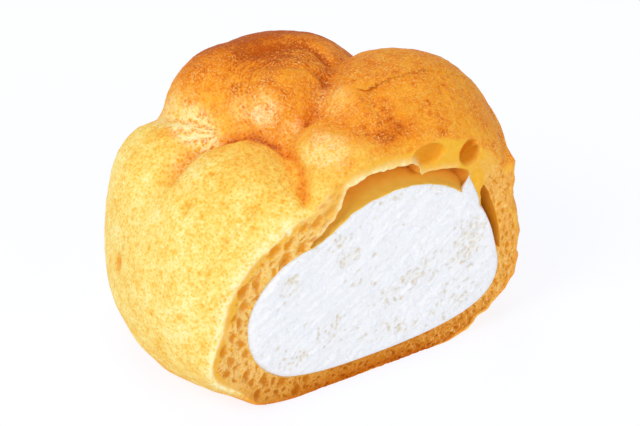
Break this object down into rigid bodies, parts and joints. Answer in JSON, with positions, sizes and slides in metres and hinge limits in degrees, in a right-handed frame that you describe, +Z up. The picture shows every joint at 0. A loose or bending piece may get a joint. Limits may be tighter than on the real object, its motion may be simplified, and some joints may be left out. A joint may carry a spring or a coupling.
{
  "type": "cream puff",
  "caption": "Lobed choux bun cut open on one side, its hollow filled with whipped cream up to the flat cut face.",
  "frame": {"origin": "middle of the whole part's box, on the surface it rests on", "axes": "+Z up; the cut face is flat, runs along X and looks along -Y"},
  "size_m": [0.084, 0.065, 0.0602],
  "materials": {
    "choux": "golden baked crust, egg-washed satin on top, open amber crumb at the cut",
    "cream": "matte whipped cream with small pits"
  },
  "bodies": {
    "root": {"choux_shell": "choux", "cream_filling": "cream"}
  },
  "joints": []
}
